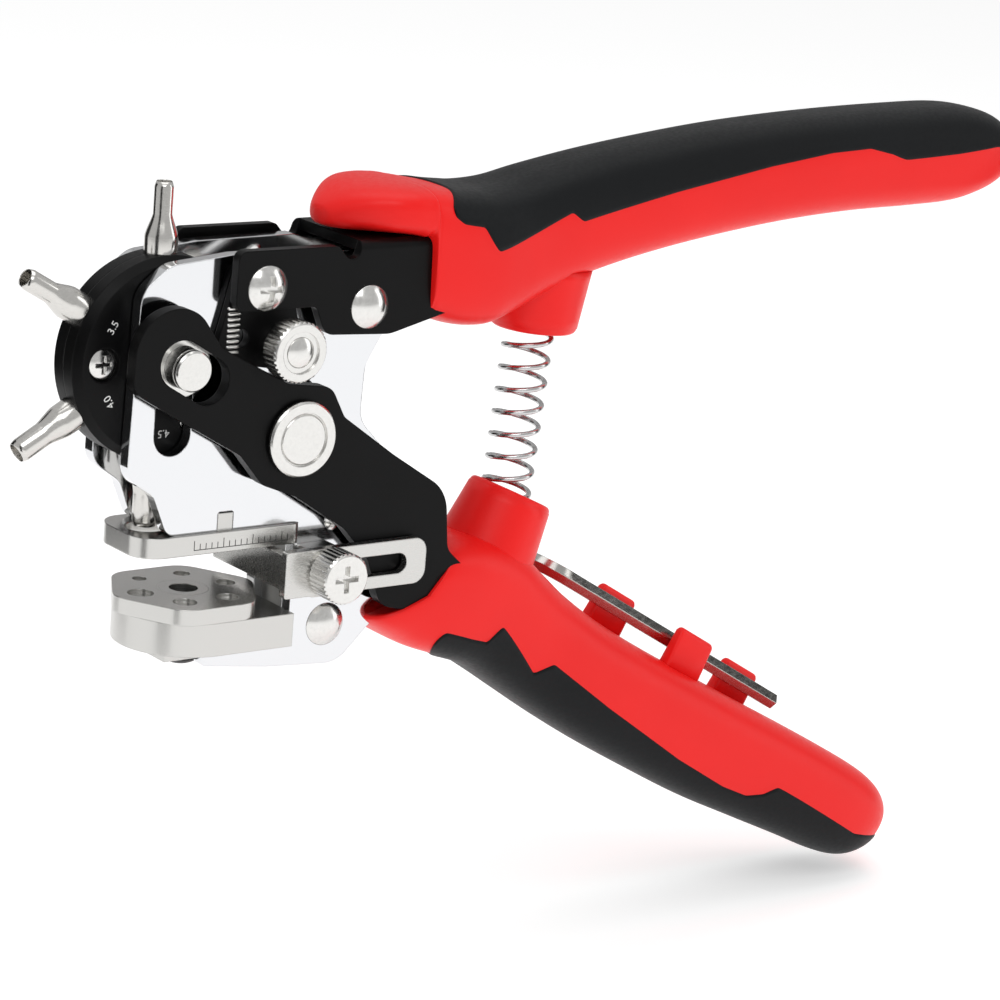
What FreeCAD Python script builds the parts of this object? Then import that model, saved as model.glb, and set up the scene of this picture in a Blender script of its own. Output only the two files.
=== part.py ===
import FreeCAD
import Part
import math
import os

V = FreeCAD.Vector

# Revolving hole punch pliers. +X runs to the handle ends, +Y to the rear, +Z up.
# The origin is on the anvil's top, under the punch tube that is turned down. Sizes in mm.

# wheel and punch tubes
wheel_z = 49.6
wheel_r = 21.0
wheel_half = 5.0
rim_chamfer = 1.6
tube_count = 6
tube_reach = 35.2
tube_base_r = 3.4
tube_seat_r = 11.5
tube_taper_start = 24.4
tube_taper_end = 28.6
tube_wall = 0.45
seat_fit = 0.02
tube_bores = [4.5, 4.0, 3.5, 3.0, 2.5, 2.0]
axle_r = 4.2
hub_r = 7.0
wheel_screw_reach = 14.5
wheel_screw_r = 1.6
wheel_screw_head_r = 3.3

# side plates, front and rear
plate_t = 3.0
plate_gap = 0.3
plate_in = wheel_half + plate_gap
plate_out = plate_in + plate_t
plate_top = 71.9
plate_low_top = 70.3
slot_fit = 0.08
slot_top = 52.6

# layers outside the plates: latch, channel walls, then lever plates
latch_t = 1.9
latch_in = plate_out + 0.15
wall_in = latch_in + latch_t + 0.15
wall_out = wall_in + 2.3

# punch stroke and lever
stroke = 14.0
lever_turn = 26.3
pivot_x = 27.0
pivot_z = 33.5
lever_in = wall_in + 0.2
lever_t = 3.0
lever_out = lever_in + lever_t
pivot_r = 5.0
pivot_ring_r = 7.9
pin_fit = 0.05
lever_slot_r = axle_r + 0.75
eye_back = 2.4
eye_ahead = 5.0

# upper channel and its rivet
web_bottom = 70.7
web_top = 73.0
rivet_x = 42.5
rivet_z = 59.4
rivet_r = 2.8
rivet_head_r = 4.6

# latch
ear_x = 17.5
ear_z = 64.8
ear_pin_r = 2.4
ear_head_r = 4.7
knob_x = 22.3
knob_z = 52.7
knob_r = 6.3
knob_stem_r = 3.4
knob_long = 5.1

# stripper, anvil and jaw
strip_bottom = 9.8
strip_top = 14.0
strip_half = 9.3
strip_left = -6.2
strip_nose_r = 5.5
strip_right = 32.0
anvil_x = 10.2
anvil_t = 3.4
anvil_lobe = 16.8
anvil_land = 10.2
insert_r = 5.3
insert_hole_r = 3.0
block_r = 14.4
block_bottom = -10.4
tongue_bottom = -13.6
throat_x = 31.0
jaw_rivet_x = 40.0
jaw_rivet_z = -8.8
small_rivet_x = 40.3
small_rivet_z = 13.6

# guide stop and thumb screw
guide_in = lever_out + 0.4
guide_t = 2.0
guide_out = guide_in + guide_t
guide_low = 0.4
stop_low = 2.1
guide_high = 10.2
guide_travel = 15.0
thumb_x = 35.0
thumb_z = 5.2
thumb_r = 5.4
thumb_stem_r = 2.0
thumb_long = 6.2

# spring between the handles
spring_r = 5.2
spring_wire = 0.55
spring_turns = 9
spring_top = V(93.8, 0, 52.6)
spring_foot = V(90.7, 0, 10.9)
cup_r = 8.6
cup_bore = 7.2

# hex key in the lower grip's clips
key_flat = 1.75
key_angle = 30.0
key_start = V(105.2, 0, -6.2)
key_long = 78.0
key_short = 15.0


def outline(points):
    """Closed wire in the XZ plane through points (x, z) or (x, z, corner radius)."""
    count = len(points)
    spots = [V(p[0], 0, p[1]) for p in points]
    starts = []
    ends = []
    arcs = []
    for i in range(count):
        here = spots[i]
        radius = points[i][2] if len(points[i]) > 2 else 0
        before = spots[i - 1] - here
        after = spots[(i + 1) % count] - here
        before.normalize()
        after.normalize()
        half = math.acos(max(-1.0, min(1.0, before.dot(after)))) / 2
        if radius == 0 or half > 1.55:
            starts.append(here)
            ends.append(here)
            arcs.append(None)
            continue
        reach = radius / math.tan(half)
        middle = before + after
        middle.normalize()
        centre = here + middle * (radius / math.sin(half))
        top = centre - middle * radius
        starts.append(here + before * reach)
        ends.append(here + after * reach)
        arcs.append(top)
    edges = []
    for i in range(count):
        if arcs[i] is not None:
            edges.append(Part.Arc(starts[i], arcs[i], ends[i]).toShape())
        nxt = (i + 1) % count
        if (starts[nxt] - ends[i]).Length > 1e-6:
            edges.append(Part.LineSegment(ends[i], starts[nxt]).toShape())
    return Part.Wire(edges)


def slab(points, y0, y1):
    """Plate of the outline between two Y values."""
    face = Part.Face(outline(points))
    face.translate(V(0, y0, 0))
    return face.extrude(V(0, y1 - y0, 0))


def pin(x, z, r, y0, y1):
    """Round pin along Y."""
    return Part.makeCylinder(r, y1 - y0, V(x, y0, z), V(0, 1, 0))


def post(x, y, r, z0, z1):
    """Round post along Z."""
    return Part.makeCylinder(r, z1 - z0, V(x, y, z0), V(0, 0, 1))


def box(x0, x1, y0, y1, z0, z1):
    return Part.makeBox(x1 - x0, y1 - y0, z1 - z0, V(x0, y0, z0))


def slot(x, z0, z1, r, y0, y1):
    """Upright slot with round ends."""
    body = box(x - r, x + r, y0, y1, z0, z1)
    return body.fuse([pin(x, z0, r, y0, y1), pin(x, z1, r, y0, y1)])


def slot_along(x0, z0, x1, z1, r, y0, y1):
    """Slot with round ends between two points of the XZ plane."""
    side = V(z0 - z1, 0, x1 - x0)
    side.normalize()
    side = side * r
    a = V(x0, 0, z0)
    b = V(x1, 0, z1)
    corners = [a + side, b + side, b - side, a - side]
    body = slab([(c.x, c.z) for c in corners], y0, y1)
    return body.fuse([pin(x0, z0, r, y0, y1), pin(x1, z1, r, y0, y1)])


def rear(shape):
    """The same piece on the rear side."""
    return shape.mirror(V(0, 0, 0), V(0, 1, 0))


def dome(x, z, r, y_face, height):
    """Low rivet or screw head towards -Y, its flat back at y_face."""
    ball_r = (r * r + height * height) / (2 * height)
    ball = Part.makeSphere(ball_r, V(x, y_face - height + ball_r, z))
    return ball.common(pin(x, z, r, y_face - height - 1, y_face))


def drum(x, z, r, y0, y1, cut):
    """Round disc along Y with both edges chamfered."""
    profile = [
        V(0, y0, 0), V(r - cut, y0, 0), V(r, y0 + cut, 0),
        V(r, y1 - cut, 0), V(r - cut, y1, 0), V(0, y1, 0), V(0, y0, 0),
    ]
    face = Part.Face(Part.makePolygon(profile))
    solid = face.revolve(V(0, 0, 0), V(0, 1, 0), 360)
    solid.translate(V(x, 0, z))
    return solid


def knurled(x, z, r, y0, y1, teeth, depth):
    """Barrel along Y with straight knurls cut in its rim."""
    solid = drum(x, z, r, y0, y1, 0.5)
    for i in range(teeth):
        a = 2 * math.pi * i / teeth
        groove = pin(x + r * math.cos(a), z + r * math.sin(a), depth, y0 - 1, y1 + 1)
        solid = solid.cut(groove)
    return solid


def section(top, low, half, corner):
    """Rounded rectangle standing between two points of the XZ plane."""
    up = top - low
    height = up.Length / 2
    up.normalize()
    mid = (top + low) * 0.5
    side = V(0, 1, 0)
    w = half - corner
    h = height - corner
    k = corner * math.sqrt(0.5)

    def at(s, u):
        return mid + side * s + up * u

    edges = []
    for sx, sz in [(1, 1), (-1, 1), (-1, -1), (1, -1)]:
        a = at(sx * half, sz * h)
        b = at(sx * (w + k), sz * (h + k))
        c = at(sx * w, sz * height)
        if sx * sz > 0:
            edges.append(Part.Arc(a, b, c).toShape())
            edges.append(Part.LineSegment(c, at(-sx * w, sz * height)).toShape())
        else:
            edges.append(Part.Arc(c, b, a).toShape())
            edges.append(Part.LineSegment(a, at(sx * half, -sz * h)).toShape())
    return Part.Wire(edges)


def loft(stations):
    """Smooth body through (top x, top z, low x, low z, half width, corner radius)."""
    wires = [section(V(s[0], 0, s[1]), V(s[2], 0, s[3]), s[4], s[5]) for s in stations]
    return Part.makeLoft(wires, True, False)


# ---- wheel ----

def wheel_half_disc(front):
    """One half of the punch wheel, with the sockets that hold the tubes."""
    disc = drum(0, wheel_z, wheel_r, -wheel_half, wheel_half, rim_chamfer)
    keep = box(-30, 30, -wheel_half - 1, 0, wheel_z - 30, wheel_z + 30)
    if not front:
        keep = rear(keep)
    disc = disc.common(keep)
    cuts = [pin(0, wheel_z, hub_r + seat_fit, -9, 9)]
    for i in range(tube_count):
        a = math.radians(270 + 60 * i)
        out = V(math.cos(a), 0, math.sin(a))
        seat = V(0, 0, wheel_z) + out * tube_seat_r
        cuts.append(Part.makeCylinder(tube_base_r + seat_fit, 20, seat, out))
    for x, z in wheel_screw_spots():
        cuts.append(pin(x, z, wheel_screw_r, -9, 9))
        cuts.append(pin(x, z, wheel_screw_head_r + 0.2, -9, -wheel_half + 0.9))
    return disc.cut(cuts)


def wheel_screw_spots():
    spots = []
    for i in range(3):
        a = math.radians(180 + 120 * i)
        x = wheel_screw_reach * math.cos(a)
        z = wheel_z + wheel_screw_reach * math.sin(a)
        spots.append((x, z))
    return spots


def wheel_screws():
    """Three countersunk screws that clamp the wheel halves."""
    made = []
    for x, z in wheel_screw_spots():
        head = dome(x, z, wheel_screw_head_r, -wheel_half + 0.9, 0.85)
        stem = pin(x, z, wheel_screw_r, -wheel_half + 0.9, wheel_half - 0.2)
        cross = box(x - 0.45, x + 0.45, -wheel_half - 1, -wheel_half + 0.6, z - 1.8, z + 1.8)
        bar = box(x - 1.8, x + 1.8, -wheel_half - 1, -wheel_half + 0.6, z - 0.45, z + 0.45)
        made.append(head.fuse(stem).cut([cross, bar]))
    return Part.makeCompound(made)


def wheel_hub():
    """Bush in the wheel that turns on the axle."""
    hub = pin(0, wheel_z, hub_r, -wheel_half, wheel_half)
    return hub.cut(pin(0, wheel_z, axle_r + pin_fit, -9, 9))


def punch_tube(index):
    """Stepped punch tube with a sharpened tip and a side window for the slugs."""
    bore = tube_bores[index] / 2
    tip = bore + tube_wall
    profile = [
        V(bore, 0, tube_seat_r), V(tube_base_r, 0, tube_seat_r),
        V(tube_base_r, 0, tube_taper_start), V(tip, 0, tube_taper_end),
        V(tip, 0, tube_reach - 1.2), V(bore + 0.08, 0, tube_reach),
        V(bore, 0, tube_reach), V(bore, 0, tube_seat_r),
    ]
    face = Part.Face(Part.makePolygon(profile))
    tube = face.revolve(V(0, 0, 0), V(0, 0, 1), 360)
    tube.rotate(V(0, 0, 0), V(0, 1, 0), 180 + 60 * index)
    tube.translate(V(0, 0, wheel_z))
    return tube


# ---- axle carriage ----

def axle():
    """Wheel axle: its front end stands out of the lever's eye, a shoulder inside holds it."""
    rod = pin(0, wheel_z, axle_r, -lever_out, lever_out + 1.6)
    tip = drum(0, wheel_z, axle_r, -lever_out - 1.5, -lever_out, 0.4)
    shoulder = pin(0, wheel_z, 6.4, -lever_in + 0.2, -plate_out - 0.2)
    body = rod.fuse([tip, shoulder]).removeSplitter()
    groove = pin(0, wheel_z, axle_r + 1, lever_out + 0.4, lever_out + 1.2)
    groove = groove.cut(pin(0, wheel_z, axle_r - 0.7, 0, 30))
    return body.cut(groove)


def axle_clip():
    """Snap ring in the axle's rear groove."""
    ring = pin(0, wheel_z, 6.6, lever_out + 0.4, lever_out + 1.2)
    ring = ring.cut(pin(0, wheel_z, axle_r - 0.7, 0, 30))
    return ring.cut(box(-1.6, 1.6, 0, 30, wheel_z - 12, wheel_z))


def axle_washer():
    """Spacing washer between the rear side plate and the rear lever plate."""
    ring = pin(0, wheel_z, 6.4, plate_out + 0.2, lever_in - 0.2)
    return ring.cut(pin(0, wheel_z, axle_r, 0, 30))


# ---- fixed frame ----

def plate_outline():
    return [
        (12.0, plate_top - 0.9), (-2.6, 69.6, 6.0), (-8.9, 64.6, 6.0), (-10.0, 27.0, 5.0), (-3.4, 22.6, 3.5), (0.2, strip_top, 3.0),
        (12.0, strip_top), (12.0, 18.0, 0.6), (15.8, 18.0, 0.6), (15.8, strip_top),
        (throat_x, strip_top), (throat_x, block_bottom, 2.0), (10.2, block_bottom), (10.2, -14.4, 1.0),
        (26.0, -16.4), (43.6, -17.6, 7.0), (56.5, -5.0, 4.0), (59.0, 8.0, 6.0),
        (57.5, 22.0, 5.0), (45.2, 34.5, 6.0), (45.6, 46.0, 6.0), (50.0, 53.6, 2.0),
        (63.0, 55.5, 1.5), (63.0, plate_low_top, 1.5),
        (38.0, plate_low_top, 1.0), (35.0, plate_top - 0.7, 1.0),
    ]


def side_plate():
    """Front side plate with the slot that guides the axle straight down."""
    plate = slab(plate_outline(), -plate_out, -plate_in)
    guide_slot = slot(0, wheel_z - stroke - 0.6, slot_top, axle_r + slot_fit, -30, 0)
    holes = [
        guide_slot,
        pin(pivot_x, pivot_z, pivot_r, -30, 0),
        pin(rivet_x, rivet_z, rivet_r, -30, 0),
        pin(ear_x, ear_z, ear_pin_r, -30, 0),
        pin(jaw_rivet_x, jaw_rivet_z, rivet_r, -30, 0),
        pin(small_rivet_x, small_rivet_z, 1.4, -30, 0),
        pin(thumb_x, thumb_z, thumb_stem_r + pin_fit, -30, 0),
    ]
    return plate.cut(holes)


def upper_channel():
    """Folded channel over the side plates, with an ear each side."""
    side = [
        (10.3, 72.6, 2.0), (10.3, 60.3, 2.0), (29.5, 60.3, 1.5), (32.0, 54.3, 3.0),
        (48.0, 53.4, 8.0), (62.0, 57.0, 6.0), (78.0, 58.8), (78.0, web_top),
        (40.0, web_top), (39.0, 69.6, 1.5), (36.5, 69.6, 1.5), (34.0, 72.4, 1.5),
    ]
    wall = slab(side, -wall_out, -wall_in)
    holes = [
        pin(rivet_x, rivet_z, rivet_r, -30, 0),
        pin(ear_x, ear_z, ear_pin_r, -30, 0),
    ]
    wall = wall.cut(holes)
    web = box(40.0, 78.0, -wall_out, wall_out, web_bottom, web_top)
    channel = wall.fuse([rear(wall), web]).removeSplitter()
    bends = []
    for e in channel.Edges:
        c = e.BoundBox
        flat = abs(c.ZMax - web_top) < 0.01 and abs(c.ZMin - web_top) < 0.01
        long = c.XLength > 30
        outer = abs(abs(c.YMin) - wall_out) < 0.01 and c.YLength < 0.01
        if flat and long and outer:
            bends.append(e)
    return channel.makeFillet(1.8, bends)


def channel_pads():
    """Spacing plates between the side plates and the channel's walls."""
    shape = [
        (34.5, 56.0, 1.5), (50.0, 55.0, 1.5), (61.0, 57.0), (61.0, 69.5), (34.5, 69.5, 1.5),
    ]
    pad = slab(shape, -wall_in, -plate_out)
    pad = pad.cut(pin(rivet_x, rivet_z, rivet_r, -30, 0))
    return Part.makeCompound([pad, rear(pad)])


def ear_spacer():
    """Rear ear's spacing ring, where the front ear has the latch."""
    ring = pin(ear_x, ear_z, 4.6, plate_out, wall_in)
    return ring.cut(pin(ear_x, ear_z, ear_pin_r, 0, 30))


def ear_screws():
    """Cross-head screws through the ears; they stop short of the punch tubes."""
    head = dome(ear_x, ear_z, ear_head_r, -wall_out, 1.9)
    stem = pin(ear_x, ear_z, ear_pin_r, -wall_out, -plate_in)
    cross = box(ear_x - 0.6, ear_x + 0.6, -30, -wall_out - 0.5, ear_z - 2.6, ear_z + 2.6)
    bar = box(ear_x - 2.6, ear_x + 2.6, -30, -wall_out - 0.5, ear_z - 0.6, ear_z + 0.6)
    screw = head.fuse(stem).cut([cross, bar])
    return Part.makeCompound([screw, rear(screw)])


def upper_core():
    """Steel bar that carries the upper grip, riveted between the side plates."""
    head = slab([(38.5, 54.4, 2.0), (64.0, 56.5), (64.0, 69.8), (38.5, 69.8, 2.0)], -plate_in, plate_in)
    bar = slab([
        (60.0, 60.5), (186.0, 76.0, 3.0), (186.0, 87.0, 3.0), (86.0, 74.4, 1.0),
        (86.0, 70.4), (60.0, 69.8),
    ], -3.0, 3.0)
    return head.fuse(bar).removeSplitter().cut(pin(rivet_x, rivet_z, rivet_r, -30, 30))


def channel_rivet():
    """Domed rivet through channel, pads, side plates and core."""
    head = dome(rivet_x, rivet_z, rivet_head_r, -wall_out, 1.8)
    stem = pin(rivet_x, rivet_z, rivet_r, -wall_out, wall_out)
    return head.fuse([stem, rear(head)])


def pivot_pins():
    """A stub each side: the lever turns on it, and it stops short of the wheel."""
    stub = pin(pivot_x, pivot_z, pivot_r, -lever_out - 0.3, -plate_in)
    boss = pin(pivot_x, pivot_z, 7.4, -lever_in + 0.15, -plate_out)
    ring = drum(pivot_x, pivot_z, pivot_ring_r, -lever_out - 1.7, -lever_out - 0.2, 0.4)
    recess = pin(pivot_x, pivot_z, 5.6, -lever_out - 3, -lever_out - 1.2)
    face = drum(pivot_x, pivot_z, 5.3, -lever_out - 1.6, -lever_out - 0.8, 0.3)
    stub = stub.fuse([boss, ring]).cut(recess).fuse(face)
    return Part.makeCompound([stub, rear(stub)])


def jaw_block():
    """Spacing block between the side plates behind the throat."""
    shape = [
        (33.0, -15.6, 2.0), (33.0, 14.0, 2.0), (38.8, 30.0, 2.0), (45.0, 30.0, 2.0),
        (55.5, 19.5, 3.0), (57.0, 8.0, 4.0), (54.5, -5.0, 4.0), (43.0, -16.0, 5.0),
    ]
    block = slab(shape, -plate_in, plate_in)
    holes = [
        pin(jaw_rivet_x, jaw_rivet_z, rivet_r, -30, 30),
        pin(small_rivet_x, small_rivet_z, 1.4, -30, 30),
        pin(thumb_x, thumb_z, thumb_stem_r + pin_fit, -30, 30),
    ]
    return block.cut(holes)


def jaw_rivets():
    """Large rivet of the lower jaw and the small one above it."""
    big = dome(jaw_rivet_x, jaw_rivet_z, rivet_head_r, -plate_out, 1.6)
    big = big.fuse([pin(jaw_rivet_x, jaw_rivet_z, rivet_r, -plate_out, plate_out), rear(big)])
    small = dome(small_rivet_x, small_rivet_z, 2.2, -plate_out, 1.0)
    stem = pin(small_rivet_x, small_rivet_z, 1.4, -plate_out, plate_out)
    small = small.fuse([stem, rear(small)])
    return Part.makeCompound([big, small])


def anvil_block():
    """Seat under the anvil with a round nose and a tongue between the side plates."""
    seat = post(anvil_x, 0, block_r, block_bottom, -anvil_t)
    seat = seat.fuse(box(anvil_x, 28.0, -block_r, block_r, block_bottom, -anvil_t))
    tongue = box(3.2, 30.5, -plate_in, plate_in, tongue_bottom, block_bottom)
    return seat.fuse(tongue).removeSplitter().cut(post(anvil_x, 0, insert_hole_r, -20, 0))


def anvil_screw():
    """Domed screw from below that holds the anvil."""
    stem = post(anvil_x, 0, insert_hole_r - 0.05, tongue_bottom, -1.2)
    ball_r = 7.0
    head = Part.makeSphere(ball_r, V(anvil_x, 0, tongue_bottom - 2.3 + ball_r))
    head = head.common(post(anvil_x, 0, 4.8, tongue_bottom - 4, tongue_bottom))
    return head.fuse(stem)


def stripper_plate():
    """Plate that holds the leather down, with a round nose and the punch hole."""
    plate = box(strip_left, strip_right, -strip_half, strip_half, strip_bottom, strip_top)
    nose = []
    for e in plate.Edges:
        c = e.BoundBox
        if c.ZLength > 1:
            if c.XMax < 0:
                nose.append(e)
    plate = plate.makeFillet(strip_nose_r, nose)
    tail = [e for e in plate.Edges if e.BoundBox.ZLength > 1 and e.BoundBox.XMin > strip_right - 0.1]
    plate = plate.makeFillet(2.0, tail)
    tabs = []
    for s in (-1, 1):
        y0 = min(s * plate_in, s * plate_out)
        tabs.append(box(12.1, 15.7, y0, y0 + plate_t, strip_top - 1, 17.7))
    plate = plate.fuse(tabs)
    hole = post(0, 0, tube_base_r + 0.6, 0, 30)
    wide = box(0, 6.0, -tube_base_r - 0.6, tube_base_r + 0.6, 0, 30)
    end = post(6.0, 0, tube_base_r + 0.6, 0, 30)
    notch = box(throat_x - 0.1, strip_right + 1, -plate_out - 0.1, plate_out + 0.1, 0, 30)
    return plate.cut([hole, wide, end, notch]).removeSplitter()


def guide_rail():
    """Block that the guide bar slides on, fixed to the front side plate."""
    rail = slab([(31.5, -0.6, 1.0), (39.5, -0.6, 1.0), (39.5, 9.4, 1.0), (31.5, 9.4, 1.0)], -guide_in, -plate_out)
    return rail.cut(pin(thumb_x, thumb_z, thumb_stem_r + pin_fit, -30, 0))


# ---- lever ----

def lever_outline():
    return [
        (-12.6, 61.5, 9.5), (-13.0, 46.0, 5.0), (0.0, 38.4, 3.0), (13.0, 31.0, 3.0),
        (18.6, 24.4, 4.0), (27.0, 21.2, 3.0), (39.5, 13.2, 4.0), (46.0, 6.0, 5.0),
        (50.0, -4.6, 5.0), (60.0, -6.8, 3.0), (69.0, -6.8, 2.0), (74.0, -1.0, 2.0), (66.2, 6.0, 4.0),
        (64.8, 19.0, 9.0), (50.5, 28.0, 6.0), (37.6, 37.0, 3.0), (34.0, 43.6, 4.0),
        (23.5, 45.0, 4.0), (7.0, 53.6, 3.0), (0.5, 62.6, 8.0),
    ]


def lever_plate():
    """Front lever plate with the long eye for the axle."""
    plate = slab(lever_outline(), -lever_out, -lever_in)
    dx = pivot_x / math.hypot(pivot_x, wheel_z - pivot_z)
    dz = (pivot_z - wheel_z) / math.hypot(pivot_x, wheel_z - pivot_z)
    x0 = -dx * eye_back
    z0 = wheel_z - dz * eye_back
    x1 = dx * eye_ahead
    z1 = wheel_z + dz * eye_ahead
    eye = slot_along(x0, z0, x1, z1, lever_slot_r, -30, 0)
    holes = [
        eye,
        pin(pivot_x, pivot_z, pivot_r + pin_fit, -30, 0),
        pin(66.0, -1.0, 2.0, -30, 0),
    ]
    return plate.cut(holes)


def lever_core():
    """Steel bar that carries the lower grip, between the lever plates."""
    shape = [
        (61.0, 3.0, 3.0), (61.0, -6.0, 3.0), (72.0, -13.0, 6.0), (186.0, -74.0, 3.0),
        (190.0, -66.0, 3.0), (80.0, -4.0, 6.0), (70.0, 3.0, 3.0),
    ]
    bar = slab(shape, -3.0, 3.0)
    head = slab([(61.0, 3.5, 3.0), (61.0, -6.0, 3.0), (71.0, -6.0, 3.0), (71.0, 3.5, 3.0)], -lever_in, lever_in)
    return head.fuse(bar).removeSplitter().cut(pin(66.0, -1.0, 2.0, -30, 30))


def lever_rivet():
    """Flush rivet through the lever plates and the core, hidden in the grip."""
    return pin(66.0, -1.0, 2.0, -lever_out, lever_out)


# ---- handles ----

upper_main = [
    (57.2, 82.2, 58.2, 55.4, 14.6, 4.5),
    (66.0, 81.0, 67.0, 53.2, 14.9, 5.2),
    (77.0, 80.4, 78.0, 53.4, 14.5, 6.0),
    (91.0, 83.0, 94.0, 58.0, 12.8, 7.0),
    (110.0, 86.6, 112.0, 62.8, 12.0, 8.0),
    (139.0, 90.1, 141.0, 67.5, 12.0, 8.5),
    (174.0, 92.3, 175.0, 70.6, 12.0, 8.5),
    (204.0, 92.8, 204.0, 71.2, 12.0, 8.5),
    (216.5, 91.0, 217.0, 74.0, 11.0, 7.5),
    (224.5, 86.6, 224.0, 77.5, 6.0, 4.0),
]
upper_guard = [
    (37.2, 76.6, 38.6, 73.6, 8.0, 1.4),
    (42.5, 80.6, 43.5, 73.4, 12.0, 3.0),
    (51.0, 83.9, 51.0, 73.3, 14.0, 4.5),
    (58.0, 83.6, 58.0, 73.3, 14.4, 4.8),
    (67.0, 81.2, 67.0, 73.3, 14.6, 3.8),
]
lower_main = [
    (58.5, 3.0, 50.0, -8.6, 13.6, 3.0),
    (65.5, 5.0, 57.0, -14.4, 14.4, 4.5),
    (76.0, 6.0, 66.0, -18.4, 14.4, 5.0),
    (95.0, -1.5, 84.0, -26.4, 13.2, 7.0),
    (113.0, -15.6, 101.0, -37.6, 12.0, 8.0),
    (133.0, -28.0, 121.0, -49.8, 12.0, 8.5),
    (157.0, -41.2, 145.0, -62.8, 12.0, 8.5),
    (180.0, -53.6, 168.0, -73.4, 12.0, 8.5),
    (197.0, -63.4, 185.0, -81.6, 11.4, 8.0),
    (206.6, -74.6, 201.0, -83.4, 6.5, 4.5),
]
cover_depth = 1.6
upper_zone = [
    (58.0, 84.0), (61.9, 80.6), (62.4, 77.0), (64.8, 74.9), (71.5, 73.5), (74.9, 67.4),
    (93.0, 75.2), (96.2, 72.9), (121.0, 78.0), (147.0, 82.5), (164.4, 84.9), (175.4, 85.3),
    (182.0, 83.6), (186.0, 81.6), (201.6, 82.6), (240.0, 84.0), (240.0, 110.0), (58.0, 110.0),
]
lower_zone = [
    (64.1, -15.4), (68.4, -12.4), (79.0, -15.4), (83.4, -11.8), (93.7, -24.6), (99.3, -22.8),
    (115.5, -35.0), (137.0, -50.2), (151.0, -58.6), (158.3, -61.9), (163.2, -61.9),
    (168.0, -60.4), (193.0, -76.2), (215.0, -82.0), (215.0, -100.0), (140.0, -100.0),
    (60.0, -40.0), (60.0, -16.0),
]


def inner_stations(stations, depth):
    """The stations drawn in on all sides, for a cover's inside."""
    made = []
    for s in stations:
        top = V(s[0], 0, s[1])
        low = V(s[2], 0, s[3])
        up = top - low
        up.normalize()
        top = top - up * depth
        low = low + up * depth
        made.append((top.x, top.z, low.x, low.z, s[4] - depth, s[5] - depth * 0.6))
    return made


def cup(end, direction, depth):
    """Cup moulded on a grip for the spring's end, open along the direction."""
    return Part.makeCylinder(cup_r, depth, end - direction * depth, direction)


def cup_hole(end, direction, depth):
    return Part.makeCylinder(cup_bore, depth + 1, end - direction * depth, direction)


upper_cup_end = V(94.4, 0, 48.6)
upper_cup_way = V(-0.07, 0, -1)
upper_cup_way.normalize()
lower_cup_end = V(91.2, 0, 14.4)
lower_cup_way = V(0.42, 0, 0.9)
lower_cup_way.normalize()


def upper_body():
    """Outer form of the upper grip with its thumb guard and spring cup."""
    body = loft(upper_main).fuse([loft(upper_guard), cup(upper_cup_end, upper_cup_way, 14)])
    return body.cut(cup_hole(upper_cup_end, upper_cup_way, 5.5))


def lower_body():
    """Outer form of the lower grip with its spring cup."""
    body = loft(lower_main).fuse(cup(lower_cup_end, lower_cup_way, 16))
    return body.cut(cup_hole(lower_cup_end, lower_cup_way, 6.5))


def upper_skin():
    """Shell of the upper grip above the zigzag line."""
    shell = loft(upper_main).cut(loft(inner_stations(upper_main, cover_depth)))
    zone = slab(upper_zone, -30, 30)
    return shell.common(zone).common(box(72.0, 240, -30, 30, 0, 120))


def lower_skin():
    """Shell of the lower grip below the zigzag line."""
    shell = loft(lower_main).cut(loft(inner_stations(lower_main, cover_depth)))
    zone = slab(lower_zone, -30, 30)
    return shell.common(zone).common(box(72.0, 240, -30, 30, -120, 60))


def key_frame():
    along = V(math.cos(math.radians(key_angle)), 0, -math.sin(math.radians(key_angle)))
    lift = V(math.sin(math.radians(key_angle)), 0, math.cos(math.radians(key_angle)))
    return along, lift


def hexagon(centre, a, b, r):
    points = []
    for i in range(7):
        t = math.radians(60 * i)
        points.append(centre + a * (r * math.cos(t)) + b * (r * math.sin(t)))
    return Part.Face(Part.makePolygon(points))


def hex_key():
    """Bent hexagon key stored along the top of the lower grip."""
    along, lift = key_frame()
    r = key_flat * 2 / math.sqrt(3)
    side = V(0, 1, 0)
    bend = 5.0
    corner = key_start + along * bend
    long_face = hexagon(corner, side, lift, r)
    arm = long_face.extrude(along * (key_long - bend))
    axis_at = corner + side * bend
    turn = long_face.revolve(axis_at, lift, -90)
    if turn.Volume < 0:
        turn.reverse()
    short_at = key_start + side * bend
    short = hexagon(short_at, along, lift, r).extrude(side * (key_short - bend))
    return arm.fuse([turn, short])


def key_clips():
    """Three fingers on the lower grip, on alternate sides of the key."""
    along, lift = key_frame()
    made = []
    for reach, s in [(24.0, 1), (44.0, -1), (68.0, 1)]:
        centre = key_start + along * reach
        inside = key_flat + 0.55
        outside = inside + 2.2
        base = centre - along * 5.0 - lift * 7.0
        low = min(s * inside, s * outside)
        corner = base + V(0, low, 0)
        points = [
            corner, corner + along * 10.0, corner + along * 10.0 + lift * 9.0, corner + lift * 9.0, corner,
        ]
        made.append(Part.Face(Part.makePolygon(points)).extrude(V(0, outside - inside, 0)))
    return made


def spring():
    """Coil spring between the two cups."""
    way = spring_top - spring_foot
    length = way.Length
    helix = Part.makeHelix(length / spring_turns, length, spring_r - spring_wire)
    start = V(spring_r - spring_wire, 0, 0)
    ring = Part.Wire([Part.Circle(start, V(0, 1, 0), spring_wire).toShape()])
    coil = Part.Wire(helix).makePipeShell([ring], True, True)
    turn = FreeCAD.Rotation(V(0, 0, 1), way)
    coil.Placement = FreeCAD.Placement(spring_foot, turn)
    return coil


# ---- latch, anvil, guide ----

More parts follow.
